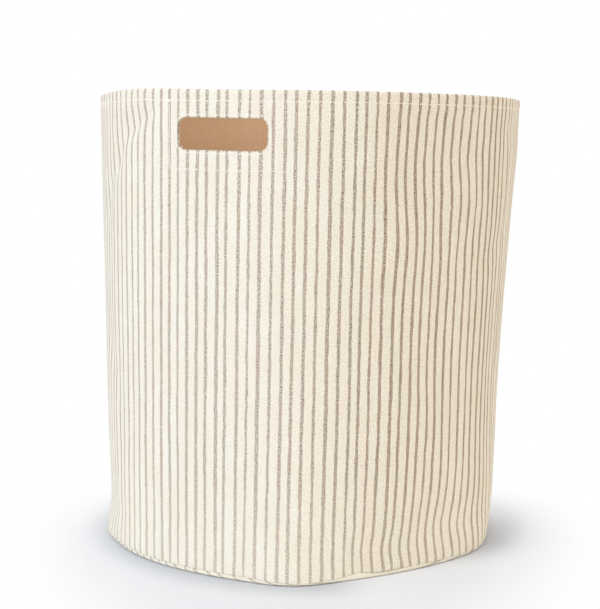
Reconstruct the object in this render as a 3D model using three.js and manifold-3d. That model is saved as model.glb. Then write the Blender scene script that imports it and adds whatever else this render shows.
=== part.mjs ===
// Fabric storage bin: a soft drum of striped canvas, lined in tan cotton, with a hand slot in
// the front (-Y) and the back (+Y). Each ply, facing, binding and thread is a solid of its own.
// Millimetres, +Z up. The bin stands on z = 0 and its bounding box is centred on the Z axis.
import * as THREE from 'three';
import Module from 'manifold-3d';
import { mergeVertices } from 'three/addons/utils/BufferGeometryUtils.js';

const wasm = await Module();
wasm.setup();

// ---------------------------------------------------------------- driving dimensions

// The drum
const binHeight = 480;
const rimRadius = 231.5;
const baseRadius = 221.5;

// The soft wall has slumped: the base sits to one side of the rim, and the rim is a little
// higher on that same side.
const leanDirection = 206;
const leanShift = 13.5;
const rimTilt = 2.8;
const crestDirection = 244;
const crestRise = 2.5;
const crestSpread = 20;
const slumpMargin = 3;

// Soft swellings (+) and hollows (-) of the wall: compass angle and angular spread in degrees,
// height and reach as shares of the bin's height, strength as a share of the deepest fold.
const foldDepth = 8;
const folds = [
  { angle: 240, spread: 13, height: 0.6, reach: 0.7, strength: 0.38 },
  { angle: 320, spread: 12, height: 0.7, reach: 0.5, strength: -0.44 },
  { angle: 344, spread: 13, height: 0.5, reach: 0.5, strength: 0.32 },
  { angle: 262, spread: 16, height: 0.0, reach: 0.2, strength: -0.22 },
  { angle: 290, spread: 11, height: 0.0, reach: 0.2, strength: 1 },
  { angle: 315, spread: 18, height: 0.0, reach: 0.2, strength: -0.37 },
  { angle: 352, spread: 15, height: 0.0, reach: 0.2, strength: 1 },
  { angle: 20, spread: 45, height: 0.45, reach: 0.3, strength: -0.3 },
  { angle: 200, spread: 45, height: 0.45, reach: 0.3, strength: -0.28 },
  { angle: 205, spread: 20, height: 0.12, reach: 0.12, strength: -0.56 },
  { angle: 59, spread: 16, height: 0.3, reach: 0.5, strength: 0.38 },
  { angle: 104, spread: 18, height: 0.6, reach: 0.4, strength: -0.32 },
  { angle: 149, spread: 16, height: 0.4, reach: 0.4, strength: 0.32 },
];

// Cloth, tape and thread
const canvasThickness = 1.0;
const liningThickness = 0.8;
const facingThickness = 1.0;
const tapeThickness = 0.8;
const threadThickness = 0.6;
const clothGap = 0.3;
const threadGap = 0.4;

// The hem: the canvas turns over the lining at the rim and is stitched down
const hemReturn = 13.5;
const hemStitchDepth = 10.5;

// The hand slots, measured down from the rim, and the stitching round their edge
const slotWidth = 94;
const slotHeight = 30;
const slotCorner = 6;
const slotDepth = 26.5;
const slotStitchMargin = 3;

// The facing behind each slot: its stitching stands off the slot, and its edge off the stitching
const facingSideMargin = 16;
const facingLowerMargin = 18.5;
const facingShift = 4.6;
const facingAllowance = 4;

// The base: a disc whose edge rolls up to the seam, then turns up inside the wall
const baseRoll = 4.2;
const baseAllowance = 9;
const baseStitchHeight = 5;

// The side seams: allowances that stand into the bin, wrapped by a binding
const sideAllowance = 11;
const sideStitchInset = 6;

// How far the prism that cuts a slot stands clear of the plies on each side
const cutterClear = 10;

// Fineness of the faceted solids
const roundSteps = 72;
const wallRows = 6;
const cornerSteps = 3;
const outlineStep = 14;

// ---------------------------------------------------------------- derived sizes

// How far each ply lies inside the wall's outer surface
const liningInset = canvasThickness + clothGap;
const facingInset = liningInset + liningThickness + clothGap;
const hemReturnInset = facingInset + facingThickness + clothGap;
const hemInset = hemReturnInset + canvasThickness;

// Heights up the plain drum
const rollTop = baseRoll + canvasThickness;
const wallBottom = rollTop + clothGap;
const upstandTop = rollTop + baseAllowance;
const liningTop = binHeight - canvasThickness - clothGap;
const hemReturnBottom = binHeight - hemReturn;
const slotTop = binHeight - slotDepth;
const slotMiddle = slotTop - slotHeight / 2;
const facingStitchBottom = slotTop - slotHeight - facingLowerMargin;
const facingBottom = facingStitchBottom - facingAllowance;
const facingStitchHalfWidth = slotWidth / 2 + facingSideMargin;

// The base's allowances and the binding round them, counted inwards
const bindingInset = liningInset + liningThickness + threadThickness + 2 * threadGap;
const baseUpstandInset = bindingInset + tapeThickness + clothGap;
const liningUpstandInset = baseUpstandInset + canvasThickness + clothGap;
const bindingInnerInset = liningUpstandInset + liningThickness + clothGap;
const bindingDepth = bindingInnerInset + tapeThickness;
const bindingTop = upstandTop + clothGap + tapeThickness;

// The side seams' allowances and the binding round them, counted from the seam's plane
const canvasFlange = clothGap / 2;
const liningFlange = canvasFlange + canvasThickness + clothGap;
const bindingFlange = liningFlange + liningThickness + clothGap;
const bindingHalfWidth = bindingFlange + tapeThickness;
const ridgeBottom = bindingTop + clothGap;
const ridgeTop = hemReturnBottom - clothGap;
const ridgeDepth = hemInset + sideAllowance;

// The wall slumps as one, with all that is sewn to it; further in, the slump fades out
const wallZone = Math.max(bindingDepth, ridgeDepth + clothGap + tapeThickness) + slumpMargin;

// ---------------------------------------------------------------- the soft form

function radians(degrees) {
  return (degrees * Math.PI) / 180;
}

// Falls from 1 at zero to nothing a few spreads away
function bell(distance, spread) {
  return Math.exp(-((distance / spread) ** 2));
}

// Signed angle from one compass direction to another, in degrees
function turnBetween(angle, direction) {
  return ((((angle - direction) % 360) + 540) % 360) - 180;
}

// How far the slumped wall stands out from the plain drum, at a compass angle in degrees
function wallShift(angle, rise) {
  let shift = (baseRadius - rimRadius) * (1 - rise);
  for (const fold of folds) {
    const round = bell(turnBetween(angle, fold.angle), fold.spread);
    shift += foldDepth * fold.strength * round * bell(rise - fold.height, fold.reach);
  }
  return shift;
}

// Where the slumped cloth has a point of the plain drum
function slumped(inset, height, direction) {
  const angle = THREE.MathUtils.radToDeg(direction);
  const rise = height / binHeight;
  const share = Math.min(1, (rimRadius - inset) / (rimRadius - wallZone));
  const radius = rimRadius - inset + wallShift(angle, rise) * share;
  const sideways = leanShift * (1 - rise);
  const lean = radians(leanDirection);
  const tilt = rimTilt * Math.cos(direction - lean) * rise;
  const crest = crestRise * bell(turnBetween(angle, crestDirection), crestSpread) * rise ** 2;
  return new THREE.Vector3(
    radius * Math.cos(direction) + sideways * Math.cos(lean),
    radius * Math.sin(direction) + sideways * Math.sin(lean),
    height + (tilt + crest) * share,
  );
}

// Moves a shape made on the plain drum to its slumped place
function slump(geometry) {
  const position = geometry.attributes.position;
  for (let i = 0; i < position.count; i += 1) {
    const x = position.getX(i);
    const y = position.getY(i);
    const point = slumped(rimRadius - Math.hypot(x, y), position.getZ(i), Math.atan2(y, x));
    position.setXYZ(i, point.x, point.y, point.z);
  }
  return geometry;
}

// ---------------------------------------------------------------- booleans

function toSolid(geometry) {
  const bare = geometry.clone();
  bare.deleteAttribute('normal');
  bare.deleteAttribute('uv');
  const merged = mergeVertices(bare, 1e-4);
  const mesh = new wasm.Mesh({
    numProp: 3,
    vertProperties: new Float32Array(merged.attributes.position.array),
    triVerts: new Uint32Array(merged.index.array),
  });
  return new wasm.Manifold(mesh);
}

function toGeometry(solid) {
  const mesh = solid.getMesh();
  const geometry = new THREE.BufferGeometry();
  geometry.setAttribute('position', new THREE.BufferAttribute(mesh.vertProperties, 3));
  geometry.setIndex(new THREE.BufferAttribute(mesh.triVerts, 1));
  return geometry;
}

// ---------------------------------------------------------------- shapes on the plain drum

function toMesh(points, faces) {
  const geometry = new THREE.BufferGeometry();
  geometry.setAttribute('position', new THREE.Float32BufferAttribute(points, 3));
  geometry.setIndex(faces);
  return geometry;
}

// Sweeps a section, given as [inset, height] points, round part of the drum. Both faces of a ply
// are split along the same diagonals, so that the plies nest.
function sweep(section, from, to) {
  const steps = Math.max(2, Math.round((roundSteps * (to - from)) / (2 * Math.PI)));
  const count = section.length;
  const points = [];
  const faces = [];
  for (let step = 0; step <= steps; step += 1) {
    const direction = from + ((to - from) * step) / steps;
    section.forEach(([inset, height]) => points.push(...slumped(inset, height, direction)));
  }
  for (let here = 0; here < steps * count; here += count) {
    const there = here + count;
    section.forEach(([, height], i) => {
      const next = (i + 1) % count;
      const rising = section[next][1] > height;
      const [low, high] = rising ? [here + i, there + next] : [here + next, there + i];
      faces.push(here + i, there + i, rising ? high : low);
      faces.push(rising ? low : high, there + next, here + next);
    });
  }
  for (const [start, direction] of [[0, from], [steps * count, to]]) {
    const angle = THREE.MathUtils.radToDeg(direction);
    const outline = section.map(
      ([inset, height]) => new THREE.Vector2(inset - wallShift(angle, height / binHeight), height),
    );
    for (const [a, b, c] of THREE.ShapeUtils.triangulateShape(outline, [])) {
      faces.push(start + b, start + (start ? c : a), start + (start ? a : c));
    }
  }
  return toMesh(points, faces);
}

// Turns a section, given as [inset, height] points, all the way round the drum
function spin(section) {
  const points = section.map(([inset, height]) => new THREE.Vector2(rimRadius - inset, height));
  const ring = new THREE.LatheGeometry(points, roundSteps);
  return slump(ring.rotateX(Math.PI / 2));
}

// A rectangular section with enough rows up its two long sides to follow the wall
function plySection(inset, thickness, bottom, top) {
  const section = [];
  for (let row = 0; row <= wallRows; row += 1) {
    section.push([inset, bottom + ((top - bottom) * row) / wallRows]);
  }
  for (let row = wallRows; row >= 0; row -= 1) {
    section.push([inset + thickness, bottom + ((top - bottom) * row) / wallRows]);
  }
  return section;
}

// Lays a thread along [sideways, height] points beside a slot, with its outer face at an inset
function layThread(path, closed, slotAngle, inset) {
  const half = threadThickness / 2;
  const count = path.length;
  const points = [];
  const faces = [];
  path.forEach((point, i) => {
    const before = path[i - 1] ?? (closed ? path[count - 1] : point);
    const after = path[i + 1] ?? (closed ? path[0] : point);
    const arriving = point.clone().sub(before).normalize();
    const leaving = after.clone().sub(point).normalize();
    const along = arriving.clone().add(leaving).normalize();
    const spread = half / Math.max(along.dot(arriving), along.dot(leaving));
    const across = new THREE.Vector2(-along.y, along.x).multiplyScalar(spread);
    for (const [side, depth] of [[-1, 0], [1, 0], [1, threadThickness], [-1, threadThickness]]) {
      const place = point.clone().addScaledVector(across, side);
      points.push(...slumped(inset + depth, place.y, slotAngle + place.x / rimRadius));
    }
  });
  for (let i = 0; i < (closed ? count : count - 1); i += 1) {
    const here = 4 * i;
    const there = 4 * ((i + 1) % count);
    for (let side = 0; side < 4; side += 1) {
      const next = (side + 1) % 4;
      faces.push(here + side, there + side, there + next, here + side, there + next, here + next);
    }
  }
  if (!closed) {
    const end = 4 * (count - 1);
    faces.push(0, 1, 2, 0, 2, 3, end, end + 2, end + 1, end, end + 3, end + 2);
  }
  return toMesh(points, faces);
}

// Points of a rounded rectangle centred on a slot, close enough together to bend with the drum
function roundedRectangle(width, height, corner) {
  const right = width / 2;
  const top = height / 2;
  const centres = [
    [right - corner, top - corner],
    [corner - right, top - corner],
    [corner - right, corner - top],
    [right - corner, corner - top],
  ];
  const points = [];
  centres.forEach(([x, y], quarter) => {
    for (let step = 0; step <= cornerSteps; step += 1) {
      const angle = (Math.PI / 2) * (quarter + step / cornerSteps);
      points.push(new THREE.Vector2(x + corner * Math.cos(angle), y + corner * Math.sin(angle)));
    }
  });
  return divide(points, true).map((point) => point.add(new THREE.Vector2(0, slotMiddle)));
}

// Adds points along the long edges of an outline
function divide(points, closed) {
  const divided = [];
  points.forEach((point, i) => {
    const next = points[(i + 1) % points.length];
    const last = !closed && i === points.length - 1;
    const pieces = last ? 1 : Math.max(1, Math.round(point.distanceTo(next) / outlineStep));
    for (let piece = 0; piece < pieces; piece += 1) {
      divided.push(point.clone().lerp(next, piece / pieces));
    }
  });
  return divided;
}

// ---------------------------------------------------------------- the model

const bin = new THREE.Group();
bin.name = 'fabric_storage_bin';

function addPiece(name, geometry, look) {
  const mesh = new THREE.Mesh(geometry, new THREE.MeshStandardMaterial(look));
  mesh.name = name;
  bin.add(mesh);
}

const canvasLook = { color: 0xf4eedf, roughness: 0.9, metalness: 0 };
const liningLook = { color: 0xd0aa82, roughness: 0.85, metalness: 0 };
const tapeLook = { color: 0xe9dfc8, roughness: 0.9, metalness: 0 };
const threadLook = { color: 0xfbf9f2, roughness: 0.7, metalness: 0 };

// The two sides of the bin, the two slots and the two seams
const sides = [
  { name: 'front', slotAngle: -Math.PI / 2 },
  { name: 'back', slotAngle: Math.PI / 2 },
];
const seams = [
  { name: 'right', angle: 0 },
  { name: 'left', angle: Math.PI },
];

// The prism that opens a slot through every ply
function slotCutter(slotAngle) {
  const outline = new THREE.Shape(roundedRectangle(slotWidth, slotHeight, slotCorner));
  const depth = hemInset + 2 * cutterClear;
  const prism = new THREE.ExtrudeGeometry(outline, { depth, bevelEnabled: false });
  const position = prism.attributes.position;
  for (let i = 0; i < position.count; i += 1) {
    const direction = slotAngle + position.getX(i) / rimRadius;
    const inset = hemInset + cutterClear - position.getZ(i);
    position.setXYZ(i, ...slumped(inset, position.getY(i), direction));
  }
  return toSolid(prism);
}

// A seam allowance: a strip of a ply that stands into the bin beside the seam's plane
function allowance(seamAngle, side, flange, thickness, inset) {
  const start = inset + thickness / 2;
  const depth = ridgeDepth - start;
  const height = ridgeTop - ridgeBottom;
  const strip = new THREE.BoxGeometry(depth, thickness, height, 1, 1, wallRows);
  const middle = rimRadius - start - depth / 2;
  strip.translate(middle, side * (flange + thickness / 2), (ridgeBottom + ridgeTop) / 2);
  return toSolid(slump(strip.rotateZ(seamAngle)));
}

// A wall panel: the ply swept over half the drum, with its slot and an allowance at each end
function wallPanel(section, slotAngle, flange, thickness, inset) {
  const reach = Math.PI / 2 - (flange / rimRadius);
  const ply = toSolid(sweep(section, slotAngle - reach, slotAngle + reach));
  const first = allowance(slotAngle + Math.PI / 2, -1, flange, thickness, inset);
  const second = allowance(slotAngle - Math.PI / 2, 1, flange, thickness, inset);
  return toGeometry(ply.add(first).add(second).subtract(slotCutter(slotAngle)));
}

// Canvas section: up the outside, over the rim, and down inside as the hem's return
const canvasSection = [
  ...plySection(0, canvasThickness, wallBottom, liningTop).slice(0, wallRows + 1),
  [0, binHeight],
  [hemInset, binHeight],
  [hemInset, hemReturnBottom],
  [hemReturnInset, hemReturnBottom],
  [hemReturnInset, liningTop + clothGap],
  [canvasThickness, liningTop + clothGap],
  ...plySection(0, canvasThickness, wallBottom, liningTop).slice(wallRows + 1),
];
const liningSection = plySection(liningInset, liningThickness, wallBottom, liningTop);

for (const { name, slotAngle } of sides) {
  const canvas = wallPanel(canvasSection, slotAngle, canvasFlange, canvasThickness, 0);
  addPiece(`outer_panel_${name}`, canvas, canvasLook);
  const lining = wallPanel(liningSection, slotAngle, liningFlange, liningThickness, liningInset);
  addPiece(`lining_panel_${name}`, lining, liningLook);
}

// The base disc of canvas: flat, rolled up to the seam, in under the wall, and up inside it
const cornerAngles = Array.from({ length: cornerSteps + 1 }, (_, i) => (Math.PI / 2) * (i / cornerSteps));
const baseSection = [
  [rimRadius, 0],
  ...cornerAngles.map((angle) => [baseRoll * (1 - Math.sin(angle)), baseRoll * (1 - Math.cos(angle))]),
  [0, rollTop],
  [baseUpstandInset, rollTop],
  [baseUpstandInset, upstandTop],
  [baseUpstandInset + canvasThickness, upstandTop],
  [baseUpstandInset + canvasThickness, baseRoll],
  [canvasThickness, baseRoll],
  ...cornerAngles
    .map((angle) => [
      baseRoll - (baseRoll - canvasThickness) * Math.sin(angle),
      baseRoll - (baseRoll - canvasThickness) * Math.cos(angle),
    ])
    .reverse()
    .slice(1),
  [rimRadius, canvasThickness],
];
addPiece('outer_base', spin(baseSection), canvasLook);

// The lining's disc, turned up against the canvas upstand
const liningFloor = canvasThickness + clothGap;
const liningBend = liningUpstandInset + liningThickness;
const liningBaseSection = [
  [rimRadius, liningFloor],
  [liningBend, liningFloor],
  [liningUpstandInset, liningFloor + liningThickness],
  [liningUpstandInset, upstandTop],
  [liningBend, upstandTop],
  [liningBend, liningFloor + 2 * liningThickness],
  [liningBend + liningThickness, liningFloor + liningThickness],
  [rimRadius, liningFloor + liningThickness],
];
addPiece('lining_base', spin(liningBaseSection), liningLook);

// The binding folded over the base's allowances
const baseBindingSection = [
  [bindingInset, wallBottom],
  [bindingInset, bindingTop],
  [bindingDepth, bindingTop],
  [bindingDepth, wallBottom],
  [bindingInnerInset, wallBottom],
  [bindingInnerInset, bindingTop - tapeThickness],
  [bindingInset + tapeThickness, bindingTop - tapeThickness],
  [bindingInset + tapeThickness, wallBottom],
];
addPiece('base_binding', spin([...baseBindingSection, baseBindingSection[0]]), tapeLook);

// The two bindings folded over the side seams' allowances
for (const { name, angle } of seams) {
  const innerEnd = rimRadius - ridgeDepth - clothGap;
  const outerEnd = rimRadius - hemInset;
  const outline = new THREE.Shape([
    new THREE.Vector2(outerEnd, bindingFlange),
    new THREE.Vector2(outerEnd, bindingHalfWidth),
    new THREE.Vector2(innerEnd - tapeThickness, bindingHalfWidth),
    new THREE.Vector2(innerEnd - tapeThickness, -bindingHalfWidth),
    new THREE.Vector2(outerEnd, -bindingHalfWidth),
    new THREE.Vector2(outerEnd, -bindingFlange),
    new THREE.Vector2(innerEnd, -bindingFlange),
    new THREE.Vector2(innerEnd, bindingFlange),
  ]);
  const height = ridgeTop - ridgeBottom;
  const binding = new THREE.ExtrudeGeometry(outline, { depth: height, steps: wallRows, bevelEnabled: false });
  binding.translate(0, 0, ridgeBottom).rotateZ(angle);
  addPiece(`side_binding_${name}`, slump(binding), tapeLook);
}

// The facings: a patch behind each slot, its top edge caught under the hem
for (const { name, slotAngle } of sides) {
  const halfAngle = (facingStitchHalfWidth + facingAllowance) / rimRadius;
  const middle = slotAngle + facingShift / rimRadius;
  const section = [
    [facingInset, facingBottom],
    [facingInset, slotMiddle],
    [facingInset, liningTop],
    [facingInset + facingThickness, liningTop],
    [facingInset + facingThickness, slotMiddle],
    [facingInset + facingThickness, facingBottom],
  ];
  const patch = toSolid(sweep(section, middle - halfAngle, middle + halfAngle));
  addPiece(`handle_facing_${name}`, toGeometry(patch.subtract(slotCutter(slotAngle))), canvasLook);
}

// ---------------------------------------------------------------- threads

// Each row of stitches has a needle thread on its outer face and a bobbin thread on its inner one
const outsideThread = -threadGap - threadThickness;

function threadRing(inset, height) {
  const low = height - threadThickness / 2;
  const section = [
    [inset, low],
    [inset, low + threadThickness],
    [inset + threadThickness, low + threadThickness],
    [inset + threadThickness, low],
    [inset, low],
  ];
  return spin(section);
}

const hemStitchHeight = binHeight - hemStitchDepth;
addPiece('hem_needle_thread', threadRing(outsideThread, hemStitchHeight), threadLook);
addPiece('hem_bobbin_thread', threadRing(hemInset + threadGap, hemStitchHeight), threadLook);

const baseStitch = rollTop + baseStitchHeight;
addPiece('base_seam_needle_thread', threadRing(bindingDepth + threadGap, baseStitch), threadLook);
addPiece('base_seam_bobbin_thread', threadRing(bindingInset - threadGap - threadThickness, baseStitch), threadLook);

// The row that holds a facing down runs from the hem round the facing's other three sides
function facingPath(top) {
  const corners = [
    [-facingStitchHalfWidth, top],
    [-facingStitchHalfWidth, facingStitchBottom],
    [facingStitchHalfWidth, facingStitchBottom],
    [facingStitchHalfWidth, top],
  ];
  return divide(corners.map(([x, y]) => new THREE.Vector2(x + facingShift, y)), false);
}

const slotPath = roundedRectangle(
  slotWidth + 2 * slotStitchMargin,
  slotHeight + 2 * slotStitchMargin,
  slotCorner + slotStitchMargin,
);
const facedInset = facingInset + facingThickness + threadGap;
const facingNeedlePath = facingPath(hemStitchHeight - threadThickness / 2 - threadGap);
const facingBobbinPath = facingPath(hemReturnBottom - threadGap);

for (const { name, slotAngle } of sides) {
  const threads = [
    ['facing_needle_thread', facingNeedlePath, false, outsideThread],
    ['facing_bobbin_thread', facingBobbinPath, false, facedInset],
    ['slot_edge_needle_thread', slotPath, true, outsideThread],
    ['slot_edge_bobbin_thread', slotPath, true, facedInset],
  ];
  for (const [thread, path, closed, inset] of threads) {
    addPiece(`${thread}_${name}`, layThread(path, closed, slotAngle, inset), threadLook);
  }
}

// The rows through the side seams' bindings
for (const { name, angle } of seams) {
  const threads = [
    ['needle', 1],
    ['bobbin', -1],
  ];
  for (const [thread, side] of threads) {
    const height = ridgeTop - ridgeBottom;
    const row = new THREE.BoxGeometry(threadThickness, threadThickness, height, 1, 1, wallRows);
    const sideways = side * (bindingHalfWidth + threadGap + threadThickness / 2);
    row.translate(rimRadius - hemInset - sideStitchInset, sideways, (ridgeBottom + ridgeTop) / 2);
    addPiece(`side_seam_${thread}_thread_${name}`, slump(row.rotateZ(angle)), threadLook);
  }
}

// The lean leaves the bounding box off the axis: the bin is set back over the origin
const bounds = new THREE.Box3().setFromObject(bin);
const middle = bounds.getCenter(new THREE.Vector3());
bin.position.set(-middle.x, -middle.y, -bounds.min.z);

export default bin;
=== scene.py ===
# %% [markdown]
# # A soft storage bin in striped canvas
# The bin is a drum of heavy cotton canvas, printed with stripes and lined in tan cotton. It has a
# hand slot in the front and one in the back. This lesson dresses its plain solids: each ply of
# cloth is cut flat, as on a sewing table, then hung on the bin's slumped form and given its
# thickness. The stitches are laid along the same lines. Lengths are in metres.

import math
import random

import bmesh
import bpy
import numpy as np
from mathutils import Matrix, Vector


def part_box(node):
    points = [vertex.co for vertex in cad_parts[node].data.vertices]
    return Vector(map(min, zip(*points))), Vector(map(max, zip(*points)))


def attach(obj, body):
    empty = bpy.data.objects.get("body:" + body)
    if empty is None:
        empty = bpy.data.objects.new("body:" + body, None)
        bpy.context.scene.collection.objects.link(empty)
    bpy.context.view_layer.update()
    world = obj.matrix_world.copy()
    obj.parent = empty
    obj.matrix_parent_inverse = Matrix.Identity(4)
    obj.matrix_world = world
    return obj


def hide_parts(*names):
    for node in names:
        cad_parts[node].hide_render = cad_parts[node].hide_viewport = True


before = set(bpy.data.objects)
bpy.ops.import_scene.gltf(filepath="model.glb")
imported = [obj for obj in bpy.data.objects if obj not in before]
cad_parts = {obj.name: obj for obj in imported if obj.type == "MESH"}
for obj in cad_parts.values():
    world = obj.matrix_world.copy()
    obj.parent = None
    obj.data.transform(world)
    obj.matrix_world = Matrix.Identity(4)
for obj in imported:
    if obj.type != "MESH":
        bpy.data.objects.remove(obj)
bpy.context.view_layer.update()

# %% [markdown]
# ## The camera
# It stands at hand height, a little over a metre from the bin and turned to one side of the
# front, with a long lens, so that the drum's sides look nearly upright. Its place is worked out
# from a compass angle and a distance, which are easier to think about than three coordinates.

# %% Camera
view_turn = math.radians(21.75)
view_distance = 1.309
view_sideways = -0.0108
view_height = 0.434
view_down = math.radians(8.1)
lens_length = 68

camera_data = bpy.data.cameras.new("camera")
camera_data.lens = lens_length
camera = bpy.data.objects.new("camera", camera_data)
camera.location = (
    view_distance * math.sin(view_turn) + view_sideways * math.cos(view_turn),
    -view_distance * math.cos(view_turn) + view_sideways * math.sin(view_turn),
    view_height,
)
camera.rotation_euler = (math.radians(90) - view_down, 0, view_turn)
bpy.context.scene.collection.objects.link(camera)
bpy.context.scene.camera = camera
bpy.context.scene.view_settings.view_transform = "Standard"
print("camera at", tuple(round(x, 3) for x in camera.location))

# %% [markdown]
# ## The bin's sizes
# These are the sizes that the solids were made from. The plies lie one inside the other, so each
# one's place is counted as an inset: how far it lies inside the wall's outer face.

# %% Sizes
bin_height = 0.480
rim_radius = 0.2315
base_radius = 0.2215

canvas_thickness = 0.0010
lining_thickness = 0.0008
facing_thickness = 0.0010
tape_thickness = 0.0008
thread_thickness = 0.0006
cloth_gap = 0.0003
thread_gap = 0.0004

lining_inset = canvas_thickness + cloth_gap
facing_inset = lining_inset + lining_thickness + cloth_gap
hem_inset = facing_inset + facing_thickness + cloth_gap + canvas_thickness

hem_return = 0.0135
hem_stitch_height = bin_height - 0.0105
hem_return_bottom = bin_height - hem_return
lining_top = bin_height - canvas_thickness - cloth_gap

base_roll = 0.0042
roll_top = base_roll + canvas_thickness
wall_bottom = roll_top + cloth_gap
upstand_top = roll_top + 0.009

print("the hem is", round(hem_inset * 1000, 1), "mm thick")

# %% [markdown]
# ## The soft form
# Empty cloth doesn't stand as a true drum. The base has slid to one side, the rim is a little
# high on that side, and the wall swells and sinks in long folds. A cloth simulation could find
# such a shape, but never this one. So the form is a formula: a plain drum in, its slumped place
# out. Every ply, tape and stitch goes through it, so they stay nested whatever it does.

# %% Long folds
lean_direction = math.radians(206)
lean_shift = 0.0135
rim_tilt = 0.0028
crest_direction = 244
crest_rise = 0.0025
crest_spread = 20
wall_zone = 0.0198

# Compass angle and spread in degrees, height and reach as shares of the height, depth
long_folds = (
    (240, 13, 0.6, 0.7, 0.00304),
    (320, 12, 0.7, 0.5, -0.00352),
    (344, 13, 0.5, 0.5, 0.00256),
    (262, 16, 0.0, 0.2, -0.00176),
    (290, 11, 0.0, 0.2, 0.00800),
    (315, 18, 0.0, 0.2, -0.00296),
    (352, 15, 0.0, 0.2, 0.00800),
    (20, 45, 0.45, 0.3, -0.00240),
    (200, 45, 0.45, 0.3, -0.00224),
    (205, 20, 0.12, 0.12, -0.00448),
    (59, 16, 0.3, 0.5, 0.00304),
    (104, 18, 0.6, 0.4, -0.00256),
    (149, 16, 0.4, 0.4, 0.00256),
)


def bell(distance, spread):
    """1 at no distance, and nothing a few spreads away."""
    return np.exp(-((distance / spread) ** 2))


def turn_between(angle, direction):
    """Degrees from one compass direction to another, from -180 to 180."""
    return (angle - direction + 180) % 360 - 180


# %% [markdown]
# On top of the long folds lie short creases, where the cloth has buckled: beside the front slot
# near the rim, and low down where the wall meets the floor. Each is an oval dent or ridge with a
# direction of its own. A scatter of faint ones covers the rest of the wall, drawn at random from
# a fixed seed so that each run gives the same bin.

# %% Short creases
# Compass angle, height, half length, half widths above and below, turn from level, depth
creases = [
    (242.5, 0.441, 0.020, 0.012, 0.006, 28, -0.0032),
    (249, 0.455, 0.014, 0.010, 0.006, 34, -0.0022),
    (235, 0.412, 0.022, 0.012, 0.007, 58, -0.0036),
    (242, 0.450, 0.040, 0.014, 0.012, 30, -0.0010),
    (227, 0.372, 0.032, 0.012, 0.012, 62, -0.0024),
    (223, 0.036, 0.045, 0.014, 0.010, 4, -0.0032),
    (220, 0.005, 0.042, 0.012, 0.012, 0, 0.0030),
    (333, 0.046, 0.044, 0.028, 0.012, -14, -0.0020),
    (347, 0.050, 0.034, 0.022, 0.011, -10, -0.0010),
    (4, 0.000, 0.044, 0.028, 0.020, 0, -0.0042),
    (320, 0.430, 0.050, 0.030, 0.060, 90, -0.0030),
    (329, 0.220, 0.070, 0.035, 0.060, 90, -0.0016),
    (327, 0.085, 0.045, 0.022, 0.022, 20, 0.0014),
    (304, 0.045, 0.026, 0.010, 0.010, 60, 0.0014),
    (0, 0.448, 0.036, 0.010, 0.014, 0, -0.0020),
    (333, 0.418, 0.036, 0.016, 0.014, 4, -0.0018),
    (331, 0.378, 0.038, 0.014, 0.018, -4, 0.0016),
    (349, 0.325, 0.050, 0.016, 0.016, 30, -0.0016),
    (355, 0.395, 0.060, 0.012, 0.012, 84, 0.0016),
]
chance = random.Random(11)
for _ in range(70):
    creases.append(
        (
            chance.uniform(0, 360),
            chance.uniform(0.03, 0.44),
            chance.uniform(0.030, 0.070),
            *([chance.uniform(0.010, 0.018)] * 2),
            chance.gauss(90, 30),
            chance.gauss(0, 0.0007),
        )
    )
crease_fade = 0.016


def free_of_hem(height):
    """0 from the stiff hem up, and 1 a little below it."""
    below_hem = np.clip((hem_stitch_height - height) / crease_fade, 0, 1)
    return below_hem**2 * (3 - 2 * below_hem)


def creased(angle, height):
    """How far the short creases stand out, less and less towards the hem."""
    out = np.zeros(np.broadcast(angle, height).shape)
    for direction, level, length, above, below, turn, depth in creases:
        sideways = np.radians(turn_between(angle, direction)) * rim_radius
        upwards = height - level
        cos, sin = math.cos(math.radians(turn)), math.sin(math.radians(turn))
        along = sideways * cos + upwards * sin
        across = upwards * cos - sideways * sin
        ridge = np.exp(-np.abs(across / np.where(across > 0, above, below)) ** 1.5)
        out = out + depth * bell(along, length) * ridge
    return out * free_of_hem(height)


print(len(long_folds), "long folds and", len(creases), "short creases")

# %% [markdown]
# Sewing also pulls cloth sideways. That bends the stripes into an S and leaves the wall's form
# alone, so it needs a rule of its own: points slide round the drum before they are slumped. The
# strongest pulls are at the foot, beside the bulge where the base's seam was eased in, and a few
# more bend the stripes below the hem.

# %% Sideways pulls
# Compass angle and spread in degrees, height and reach, distance to the right seen from outside
pulls = (
    (319, 13, 0.029, 0.017, -0.0040),
    (343, 15, 0.038, 0.019, -0.0046),
    (331, 22, 0.060, 0.034, -0.0018),
    (334, 10, 0.433, 0.026, -0.0006),
    (334, 10, 0.378, 0.034, 0.0008),
    (317, 7, 0.400, 0.030, -0.0018),
    (317, 7, 0.334, 0.034, 0.0030),
)


def pulled(angle, height):
    """How far the cloth is pulled round the drum."""
    out = np.zeros(np.broadcast(angle, height).shape)
    for at, spread, level, reach, distance in pulls:
        out = out + distance * bell(turn_between(angle, at), spread) * bell(height - level, reach)
    return out * free_of_hem(height)


print(len(pulls), "sideways pulls")

# %% [markdown]
# The last rule lets the wall sag over the roll of the base at its foot. Then all of them go into
# one function, which every piece is shaped with.

# %% The slumped form
settle = np.zeros(3)
# Compass angle and spread of the places where the wall sags, and how far
sags = ((213, 26, 0.0030), (350, 20, 0.0024), (293, 10, 0.0028), (307.5, 3.5, -0.0025))
sag_floor = 0.0013
sag_ramp = 0.0035
sag_top = 0.005
sag_fade = 0.02


def wall_shift(angle, height, with_creases=True):
    """How far the wall stands out from a straight drum of the rim's size."""
    rise = height / bin_height
    shift = (base_radius - rim_radius) * (1 - rise)
    for direction, spread, level, reach, depth in long_folds:
        fold = bell(turn_between(angle, direction), spread) * bell(rise - level, reach)
        shift = shift + depth * fold
    return shift + creased(angle, height) if with_creases else shift


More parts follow.
